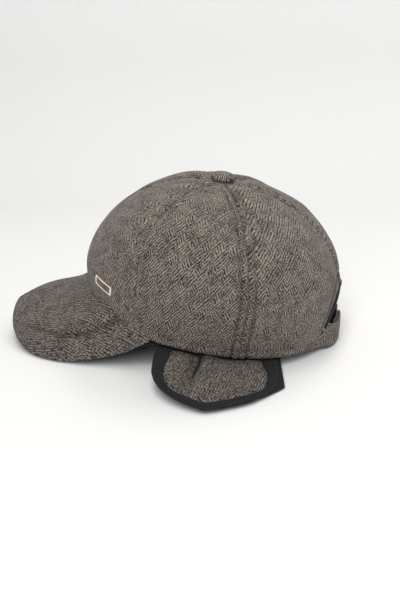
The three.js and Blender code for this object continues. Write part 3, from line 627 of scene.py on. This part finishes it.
def peak_normal(turn, outwards):
    """Square to the peak, but along the crown's wall at the seam."""
    across = peak_face(turn + 0.5, outwards) - peak_face(turn - 0.5, outwards)
    forward = peak_face(turn, outwards + 0.02) - peak_face(turn, outwards - 0.02)
    square = unit(np.cross(across, forward))
    level = peak_seam_level(turn)
    lean = crown_normal(turn, level) + np.array([0, 0, 1])
    square = square * np.where((square * lean).sum(-1, keepdims=True) < 0, -1, 1)
    wall = unit(crown_face(turn, level + 1) - crown_face(turn, level - 1))
    share = smooth(outwards, 0, 0.2)[..., None]
    return unit(wall + (square - wall) * share)


def peak_crease(points):
    """The crease where each side bends down: a groove 0.9 mm deep along a line that runs forward
    65.5 mm from the middle and then curves in, with a soft swell on its inner side. Also how far each
    place is in it, 0 to 1, which paints shade along the crease."""
    forward = -points[..., 1]
    line = CREASE_ASIDE - CREASE_CURL * np.clip((forward - 88) / 52, 0, 1.2) ** 1.7
    off = np.abs(points[..., 0]) - line
    shown = smooth(forward, 50, 60) * (1 - smooth(forward, 128, 146))
    groove = CREASE_SWELL * bell(off, -5, 4) - CREASE_DEPTH * bell(off, 0, 1.5)
    return groove * shown, bell(off, 0, 1) * shown


peak_turn = np.linspace(-PEAK_COVER_TURN, PEAK_COVER_TURN, 221)
peak_rows = np.concatenate([[-0.02, 0], np.linspace(0.012, 1, 70)])
peak_turns, peak_outs = np.meshgrid(peak_turn, peak_rows)
peak_top = peak_face(peak_turns, np.clip(peak_outs, 0, 1))
peak_up = peak_normal(peak_turns, np.clip(peak_outs, 0, 1))
edge_room = (0.4 + 0.6 * smooth(PEAK_END_TURN - np.abs(peak_turn), 3, 10))[:, None]
edge_radius = PEAK_EDGE_RADIUS * edge_room
edge_out = unit(peak_top[-1] - peak_top[-6])
peak_groove, peak_painted_shade = peak_crease(peak_top)
peak_lift = (slack(peak_top) + peak_groove) * smooth(peak_outs, 0, 0.1)
peak_top = peak_top + peak_up * peak_lift[..., None]
# The first two rows turn up against the crown, into the seam.
seam_out = crown_normal(peak_turn, peak_seam_level(peak_turn))
raised, drawn_back = np.array([[1.5, 0.5], [1.3, 0.4]])[..., None, None]
peak_top[:2] += raised * peak_up[:2] - drawn_back * seam_out
peak_top -= edge_out * (edge_radius * smooth(peak_outs, 0.8, 1)[..., None])
edge_curl = np.linspace(0, np.pi, 12)[1:, None, None]
edge_middle = peak_top[-1] - peak_up[-1] * edge_radius
edge_roll = (edge_middle + peak_up[-1] * edge_radius * np.cos(edge_curl)
             + edge_out * edge_radius * np.sin(edge_curl))
edge_under = edge_roll[-1] - edge_out * (np.linspace(0, PEAK_TURNED_IN, 4)[1:, None, None] * edge_room)
peak_points = np.concatenate([peak_top, edge_roll, edge_under])[::-1]
# On the flat cloth a place lies further aside by half its drop below the middle line.
middle_line = peak_points[:, len(peak_turn) // 2]
middle_line = middle_line[np.argsort(middle_line[:, 1])]
side_drop = np.interp(peak_points[..., 1], middle_line[:, 1], middle_line[:, 2])
side_drop = np.clip(side_drop - peak_points[..., 2], 0, None)
peak_spread = peak_points[..., 0] + 0.5 * side_drop * np.sign(peak_points[..., 0])
peak_weave = on_grain(-1.1 * peak_points[..., 1], peak_spread, PEAK_GRAIN)
# The crown's tweed again, painted darker as shade on the peak.
peak_tweed_painted_shade = make_tweed("peak_tweed_painted_shade", 0.88, 0.75, 0.75)
# Painted shade along the crease, at 0.6 of its share, and none round the turned edge.
peak_painted_shade = np.pad(0.6 * peak_painted_shade, ((0, len(edge_roll) + len(edge_under)), (0, 0)))[::-1]
peak = lay_cloth("peak_cloth", peak_points, peak_weave, peak_tweed_painted_shade, 1, 0.8,
                 hollow=peak_painted_shade)
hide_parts("peak_cover")

under_turns, under_outs = np.meshgrid(
    np.linspace(-PEAK_LINING_TURN, PEAK_LINING_TURN, 181), np.linspace(0, 0.975, 50))
under_points = peak_face(under_turns, under_outs)
under_up = peak_normal(under_turns, under_outs)
under_depth = (PEAK_DEPTH * (0.3 + 0.7 * smooth(PEAK_END_TURN - np.abs(under_turns), 0, 9))
               - 0.6 * smooth(under_outs, 0.93, 0.975))
under_points = (under_points - under_up * under_depth[..., None])[::-1]
underside = lay_cloth("peak_lining", under_points, under_points[..., :2], black_cloth, 1, 0.7)
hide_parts("peak_underside")

# ---- Badge -------------------------------------------------------------------
# A small pale metal frame round a plain insert of reddish-brown leather, pinned
# low on the left front gore.

BADGE_TURN, BADGE_HEIGHT, BADGE_TILT = 44.4, 28.8, math.radians(8.4)
BADGE_WIDTH, BADGE_TALL, FRAME_LIFT = 19.7, 6.9, 0.1


def badge_face(along, across, lift):
    """A place over the front gore, so many millimetres along the badge and across it from its
    middle; its front end is raised by 8.4 degrees."""
    one_degree = crown_face(BADGE_TURN + 0.5, BADGE_HEIGHT) - crown_face(BADGE_TURN - 0.5, BADGE_HEIGHT)
    level = along * math.cos(BADGE_TILT) + across * math.sin(BADGE_TILT)
    turn = BADGE_TURN + level / np.linalg.norm(one_degree)
    height = BADGE_HEIGHT + across * math.cos(BADGE_TILT) - along * math.sin(BADGE_TILT)
    return off_crown(turn, height, lift + cloth_swell(turn, height, 0, FRONT_SEAM_TURN))


pale_metal, metal_tree, metal_shader = principled("pale_metal", {"Roughness": 0.35, "Metallic": 0.15})
metal_place = add_node(metal_tree, "TexCoord", out=3)
metal_wear = noise(metal_tree, metal_place, 700, 3)
metal_colour = tint(metal_tree, metal_wear, (0.93, 0.88, 0.77, 1), (1, 0.98, 0.92, 1))
metal_gloss = add_node(metal_tree, "MapRange", metal_wear, 0.3, 0.7, 0.22, 0.42)
metal_tree.links.new(metal_colour, metal_shader.inputs["Base Color"])
metal_tree.links.new(metal_gloss, metal_shader.inputs["Roughness"])

# Once round the frame's rectangle from corner to corner, with a low rounded bar for its section.
lap = np.linspace(0, 4, 97)[:-1]
lap_along = np.interp(lap, range(5), (-1, 1, 1, -1, -1))
lap_across = np.interp(lap, range(5), (-1, -1, 1, 1, -1))
bar_in, bar_up = np.hsplit(np.array([
    (0, 0), (0, 0.5), (0.18, 0.75), (0.4, 0.8), (0.72, 0.8), (0.95, 0.72), (1.1, 0.5), (1.1, 0), (0, 0)]), 2)
frame_along = lap_along * (BADGE_WIDTH / 2 - 0.95 * bar_in)
frame_across = lap_across * (BADGE_TALL / 2 - 0.5 * bar_in)
frame_points = badge_face(frame_along, frame_across, FRAME_LIFT + bar_up)
badge_rim = lay_cloth("badge_rim", frame_points, frame_points[..., :2], pale_metal, closed=True)
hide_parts("badge_frame")

brown_leather, leather_tree, leather_shader = principled("brown_leather", {"Roughness": 0.6})
leather_place = add_node(leather_tree, "TexCoord", out=3)
leather_pores = add_node(leather_tree, "TexVoronoi", leather_place, None, 1600)
leather_patch = fade(leather_tree, noise(leather_tree, leather_place, 170, 4), 0.35, 0.65)
leather_colour = tint(leather_tree, leather_patch, (0.1, 0.072, 0.058, 1), (0.28, 0.13, 0.1, 1))
leather_tree.links.new(leather_colour, leather_shader.inputs["Base Color"])
roughen(leather_tree, leather_shader, leather_pores, 0.4, 0.0001)

insert_along, insert_up = np.meshgrid(np.linspace(-1, 1, 41), np.linspace(-1, 1, 17))
insert_edge = np.minimum(
    (1 - np.abs(insert_along)) * BADGE_WIDTH / 2, (1 - np.abs(insert_up)) * BADGE_TALL / 2)
insert_lift = 0.15 + 0.25 * smooth(insert_edge, 0, 1.2)
insert_points = badge_face(
    insert_along * (BADGE_WIDTH / 2 - 0.9), insert_up * (BADGE_TALL / 2 - 0.5), insert_lift)
badge_patch = lay_cloth("badge_patch", insert_points, insert_points[..., :2], brown_leather, 1, 0.3)
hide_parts("badge_inlay")

# ---- Back opening ------------------------------------------------------------
# The arched cut-out is bound in folded black tape, and two tweed strap ends,
# sewn in at its foot, lap over each other to set the size.

BACK_MM_PER_DEGREE, TAPE_TUCK, STRAP_GRAIN = 1.71, 3, 50
STRAP_FOOT, STRAP_RISE, STRAP_WALL, STRAP_PROUD, STRAP_BULGE, STRAP_SLANT = -0.4, 19, 2.2, 0.6, 4, 3.2
STRAP_LAP_TURN, STRAP_DIP, STRAP_PULL, STRAP_ROOT = 8, 1.1, 0.7, 1.6
SEWN_BEHIND, SEWN_SLANT = 2.4, 2.6


def opening_place(share, inset):
    """Turn and height of the opening's edge, moved inwards, from one foot over the arch to the
    other."""
    sweep = np.pi * share
    rise = OPENING_RISE - inset
    half = OPENING_HALF_TURN - inset / BACK_MM_PER_DEGREE
    half = half * np.abs(np.cos(sweep)) ** (2 / OPENING_POWER)
    return 180 - half * np.sign(np.cos(sweep)), rise * np.sin(sweep) ** (2 / OPENING_POWER)


# The tape runs round the arch between two places 3 mm below the strap's upper edge.
tape_foot = math.asin(((STRAP_RISE - TAPE_TUCK) / OPENING_RISE) ** (OPENING_POWER / 2)) / math.pi
tape_share = np.linspace(tape_foot, 1 - tape_foot, 161)
tape_in, tape_out = np.hsplit(np.array([  # in from the edge, and off the crown
    (-3.1, -0.3), (-3.1, 0.35), (-2.6, 0.75), (-1.5, 0.9), (0, 0.85), (0.9, 0.3), (1.2, -0.9),
    (1.2, -2.2), (0.9, -3), (0, -3.5), (-1.5, -3.6), (-3.1, -3.4)]), 2)
tape_turn, tape_height = opening_place(tape_share, tape_in)
tape_lift = cloth_swell(tape_turn, tape_height, BACK_SEAM_TURN, 180) + tape_out
tape_points = off_crown(tape_turn, tape_height, tape_lift)
tape_weave = np.stack(np.broadcast_arrays(tape_share * 110, np.arange(len(tape_in))[:, None] * 1.1), -1)
tape = lay_cloth("opening_tape", tape_points, tape_weave, black_cloth, 1, 0.4)
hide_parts("opening_binding")


def strap_face(end, away_turn, height, lift):
    """A place on a strap end: it bows off the crown by 4 to 7.2 (1 − share⁴) between its feet,
    most at its lower edge, and the right end dips under the left one."""
    dip = smooth(away_turn, 180 - STRAP_LAP_TURN - 6, 180 - STRAP_LAP_TURN - 1) * (end < 0)
    share = (180 - away_turn) / OPENING_HALF_TURN
    low = 1 - (height - STRAP_FOOT) / (STRAP_RISE - STRAP_FOOT)
    bow = STRAP_PROUD + (STRAP_BULGE + STRAP_SLANT * low) * np.clip(1 - share ** 4, 0, 1)
    return off_crown(away_turn, height, bow - dip * (STRAP_WALL - 0.1) + lift)


strap_up, strap_out = np.hsplit(np.array([  # share of its height, and off its face, with two stitched lines
    (0.06, -2), (0, -1.5), (0, -0.8), (0.03, -0.2), (0.08, 0.05), (0.14, 0), (0.2, -0.25),
    (0.27, 0.05), (0.4, 0.12), (0.6, 0.12), (0.73, 0.05), (0.8, -0.25), (0.86, 0), (0.92, 0.05),
    (0.97, -0.2), (1, -0.8), (1, -1.5), (0.94, -2)]), 2)
strap_height = STRAP_FOOT + (STRAP_RISE - STRAP_FOOT) * strap_up
# Each end starts sewn in behind the opening's edge and runs past the middle to a rounded tip, and
# its upper edge sags on the way.
run = np.linspace(0, 1, 61)
up_opening = np.clip(strap_height, 0, None) / OPENING_RISE
sewn = 180 - OPENING_HALF_TURN * superellipse(up_opening, OPENING_POWER)
sewn = sewn - SEWN_BEHIND - SEWN_SLANT * (1 - strap_up)
strap_turn = sewn + (180 + STRAP_LAP_TURN - sewn) * run
tip = smooth(run, 0.965, 1)
strap_middle = (STRAP_FOOT + STRAP_RISE) / 2
strap_height = strap_middle + (strap_height - strap_middle) * (1 - 0.1 * tip ** 2)
strap_height = strap_height - STRAP_DIP * smooth(strap_up, 0.5, 1) * smooth(run, 0.1, 0.45)
strap_lift = strap_out - 0.9 * tip * (strap_out > -0.5)
strap_lift = strap_lift + STRAP_PULL * (1 - smooth(run, 0, 0.3)) - STRAP_ROOT * (1 - smooth(run, 0, 0.04))
for end, suffix in SIDES:
    strap_points = strap_face(end, strap_turn, strap_height, strap_lift)
    strap_weave = on_grain((strap_turn - 180) * BACK_MM_PER_DEGREE * end, strap_height, STRAP_GRAIN)
    strap = lay_cloth(f"strap_{suffix}", strap_points, strap_weave, tweed, end, 0.8)
    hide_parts(f"back_strap_{suffix}")

# ---- Inner band --------------------------------------------------------------
# A black cotton band, folded along its lower edge, runs round the inside of
# the rim from one end of the strap to the other.

BAND_RISE, BAND_WALL, BAND_END_TURN, BAND_CLEARANCE, FLAP_ROOM = 20, 1.4, 158, 2.2, 2.6
BAND_PUCKER, BAND_PUCKER_RISE = 4.1, 0.12
band_turn = np.linspace(-BAND_END_TURN, BAND_END_TURN, 361)
band_low = lower_edge(band_turn)
band_room = FLAP_ROOM * smooth(np.abs(band_turn), 62, 73) * (1 - smooth(np.abs(band_turn), 137, 148))
band_up, band_out = np.hsplit(np.array([  # its height and how far it bulges out, with one stitched line
    (0.3, 1), (0.15, 0.5), (0.15, 0), (0.5, -0.3), (2, 0), (4, 0.15), (5.2, -0.1), (6.5, 0.1),
    (12, 0.15), (18, 0.1), (19.6, 0), (BAND_RISE, 0.4), (BAND_RISE, 1.2)]), 2)
band_height = band_low + band_up
band_puckers = puckers(band_turn, BAND_PUCKER_RISE, BAND_PUCKER) * smooth(-band_up, -7, -4)
band_inset = WALL + BAND_CLEARANCE + band_room + BAND_WALL - band_out + band_puckers
band_points = off_crown(band_turn, band_height, -band_inset)
band_weave = np.stack(np.broadcast_arrays(np.radians(band_turn) * 85, band_up), -1)
band = lay_cloth("inner_band_cloth", band_points[::-1], band_weave[::-1], black_cloth, 1, 0.4)
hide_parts("inner_band")

# ---- Earflaps ----------------------------------------------------------------
# Each flap is a black backing with a black border and a tweed panel with one
# dart sewn on it. It folds up inside the crown, and here it lies out sideways.

FLAP_FRONT_TURN, FLAP_REAR_TURN, FLAP_FRONT_SPLAY, FLAP_REAR_SPLAY = 75, 137, 78, 89
FLAP_BEND, FLAP_ROOT_RISE, FLAP_INSET = 5, -0.3, 5.4
FLAP_HEADING = math.radians(100)
FLAP_TOP, FLAP_TOP_BOW = -8, 1
FLAP_EDGE = np.array([  # turn and drop of the border's outer edge, then of its inner edge
    (75.4, 4.4, 82, 7), (74, 16, 81, 20), (74.4, 34.4, 80.1, 33.4), (76.1, 41.8, 81.3, 41),
    (79.2, 48.4, 84, 47.4), (83.9, 54.3, 87.6, 51), (90.5, 59.8, 92.6, 54), (100.9, 66.2, 100.4, 59.2),
    (112, 61.2, 110.5, 54.2), (121.3, 57.2, 119.4, 49.8), (130, 50.4, 126.2, 46.2), (134, 44.6, 128.6, 40.5),
    (134.9, 32, 129.4, 30.6), (135, 18, 128.4, 20), (134.8, 4.4, 126.4, 6.6)])
BACKING_EDGE = np.array([  # turn and drop of the backing's edge
    (74, 16), (74.4, 34.4), (76.1, 41.8), (79.2, 48.4), (83.9, 54.3), (90.5, 59.8), (100.9, 65.4),
    (121.3, 56.6), (131, 49.6), (139.2, 44.4)])
DART_TURN, DART_START, DART_END, DART_HALF_WIDTH, DART_DEPTH = 96.6, 18, 58, 1.3, 3


def flap_face(turn, drop, lift):
    """A place on a flap. It hangs plumb inside the rim, bends outwards over 5 mm and then runs out
    straight, the whole flap in one direction, 78 degrees from plumb at its front and 89 at its
    rear; lift is the distance off its middle layer."""
    outward = unit(crown_normal(turn, np.zeros_like(turn)) * (1, 1, 0))
    twist = np.clip((turn - FLAP_FRONT_TURN) / (FLAP_REAR_TURN - FLAP_FRONT_TURN), 0, 1)
    splay = np.radians(FLAP_FRONT_SPLAY + (FLAP_REAR_SPLAY - FLAP_FRONT_SPLAY) * twist)
    radius = FLAP_BEND / splay
    tilt = splay * np.clip(drop / FLAP_BEND, 0, 1)
    past = np.maximum(drop - FLAP_BEND, 0)
    out = radius * (1 - np.cos(tilt)) + past * np.sin(splay)
    height = FLAP_ROOT_RISE - np.minimum(drop, 0) - radius * np.sin(tilt) - past * np.cos(splay)
    heading = np.array([math.sin(FLAP_HEADING), -math.cos(FLAP_HEADING), 0])
    place = crown_face(turn, np.maximum(height, 0)) + outward * (lift * np.cos(tilt) - FLAP_INSET)[..., None]
    place = place + heading * out[..., None]
    place[..., 2] = height + lift * np.sin(tilt)
    return place


def rounded(table, share, soften=0.35):
    """Places along a table's rows, rounded at them by averaging three close samples."""
    rows = np.arange(len(table))
    spread = soften / (len(table) - 1)
    total = 0
    for step in (-1, -0.5, 0, 0.5, 1):
        at = np.clip(share + step * spread, 0, 1) * (len(table) - 1)
        total = total + np.stack([np.interp(at, rows, table[:, k]) for k in range(table.shape[1])], -1)
    return total / 5


FLAP_MM_PER_DEGREE, FLAP_GRAIN, DART_ANGLE, DART_LEAN = 1.7, 81, 14, 3.5
PANEL_BASE, PANEL_RISE, PANEL_SWELL, PANEL_RIPPLE, FOLD_DEPTH = 0.7, 1.2, 1.4, 0.35, 1.1
# The crown's tweed again, painted darker as shade on the flaps, which lie under the crown's rim.
flap_tweed_painted_shade = make_tweed("flap_tweed_painted_shade", 0.74, 0.7, 0.85)
# The panel fills its border from the fold down, rises off the flap inside a stitched rim, and sinks
# along the dart with a puff on either side, while its pattern opens like a fan from the dart's tip.
across, down = np.meshgrid(np.linspace(0, 1, 111), np.linspace(0, 1, 61))
inner_edge = rounded(FLAP_EDGE[1:-1, 2:], across)
top_edge = FLAP_EDGE[0, 2:] + (FLAP_EDGE[-1, 2:] - FLAP_EDGE[0, 2:]) * across[..., None]
top_edge[..., 1] -= FLAP_TOP_BOW * 4 * across * (1 - across)
patch_turn, patch_drop = np.moveaxis(top_edge + (inner_edge - top_edge) * down[..., None], -1, 0)
open_end = 1 - smooth(patch_drop, DART_START, DART_END)
from_dart = patch_turn - DART_TURN + DART_LEAN * smooth(patch_drop, 5, 45)
dart = bell(from_dart, 0, DART_HALF_WIDTH) * open_end
beside_dart = bell(from_dart, -3, 2.6)
puff = bell(from_dart, 3, 4) + 0.7 * bell(from_dart, -8, 4)
rim_gap = np.minimum(np.minimum(across, 1 - across) * 60, (1 - down) * 30)
patch_lift = PANEL_BASE + PANEL_RISE * smooth(rim_gap, 0, 2.2) - DART_DEPTH * dart
patch_lift = patch_lift - FOLD_DEPTH * open_end * beside_dart
ripple = PANEL_RIPPLE * np.sin(patch_turn * 0.32 + 1.1)
patch_lift += (PANEL_SWELL * puff * open_end + ripple) * smooth(rim_gap, 1, 8)
patch_points = flap_face(patch_turn, patch_drop, patch_lift)
from_tip = patch_points - flap_face(np.array([DART_TURN]), np.array([DART_END]), np.zeros(1))[0]
bearing = np.arctan2(from_tip[..., 1], -from_tip[..., 0])
opened = DART_ANGLE / 2 * np.sign(bearing) * (1 - np.abs(bearing) / np.pi)
# Painted shade: across the panel's top under the rim, in a band beside the dart, and along the dart's line.
shaded = np.maximum(1 - smooth(patch_drop, 4, 17), 0.75 * open_end * beside_dart)
shaded = np.maximum(0.62 * shaded, 1.3 * bell(from_dart, 0, 1.2) * open_end)

# The border is a soft roll: down one side, round the end, up the other, and back along the fold.
FREE_SHARE = 0.72
station = np.linspace(0, 1, 241)[:-1]
edges = rounded(FLAP_EDGE, np.clip(station / FREE_SHARE, 0, 1), 0.16)
fold_share = np.clip((station - FREE_SHARE) / (1 - FREE_SHARE), 0, 1)
edges = edges + (FLAP_EDGE[0] - edges) * fold_share[:, None]
edges[:, 3] -= FLAP_TOP_BOW * 4 * (fold_share * (1 - fold_share))
border_in, border_out = np.hsplit(np.array([  # share of its width, and off the flap
    (0, 0.1), (0, 0.8), (0.06, 1.4), (0.18, 1.8), (0.4, 2), (0.65, 2.1), (0.85, 2.05),
    (0.97, 1.75), (1.03, 1.2), (1.03, 0.5), (0.5, 0.1), (0, 0.1)]), 2)
border_turn = edges[:, 0] + (edges[:, 2] - edges[:, 0]) * border_in
border_drop = edges[:, 1] + (edges[:, 3] - edges[:, 1]) * border_in
border_points = flap_face(border_turn, border_drop, border_out + 0 * border_turn)
border_weave = np.stack([border_turn * FLAP_MM_PER_DEGREE, -border_drop], -1)

# The backing hangs inside the rim, bends with the flap and then spreads to its own outline.
BACKING_TURN, BACKING_SPAN, BEND_SHARE = 75.3, 61.6, 0.3
across, down = np.meshgrid(np.linspace(0, 1, 101), np.linspace(0, 1, 61))
tail = rounded(BACKING_EDGE, across, 0.15)
top_turn = BACKING_TURN + BACKING_SPAN * across
past = np.clip((down - BEND_SHARE) / (1 - BEND_SHARE), 0, 1)
backing_turn = top_turn + (tail[..., 0] - top_turn) * past
short_by = 0.7 + 2.6 * (1 - smooth(tail[..., 0], 116, 131))
backing_drop = np.where(down < BEND_SHARE, FLAP_TOP + (FLAP_BEND - FLAP_TOP) * down / BEND_SHARE,
                        FLAP_BEND + (tail[..., 1] - short_by - FLAP_BEND) * past)
backing_points = flap_face(backing_turn, backing_drop, np.zeros_like(backing_drop))
backing_weave = np.stack([backing_turn * FLAP_MM_PER_DEGREE, -backing_drop], -1)

for side, suffix in SIDES:
    patch_weave = on_grain(from_tip[..., 1] * side, -from_tip[..., 0], (FLAP_GRAIN + opened) * side)
    patch = lay_cloth(f"earflap_patch_{suffix}", patch_points[::-1], patch_weave[::-1], flap_tweed_painted_shade, side, 0.6,
                      hollow=shaded[::-1])
    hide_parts(f"earflap_panel_{suffix}")

    border = lay_cloth(f"earflap_edging_{suffix}", border_points, border_weave, black_cloth, side,
                       closed=True)
    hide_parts(f"earflap_border_{suffix}")

    backing = lay_cloth(f"earflap_back_{suffix}", backing_points[::-1], backing_weave[::-1], black_cloth,
                        side, 1.4)
    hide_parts(f"earflap_backing_{suffix}")
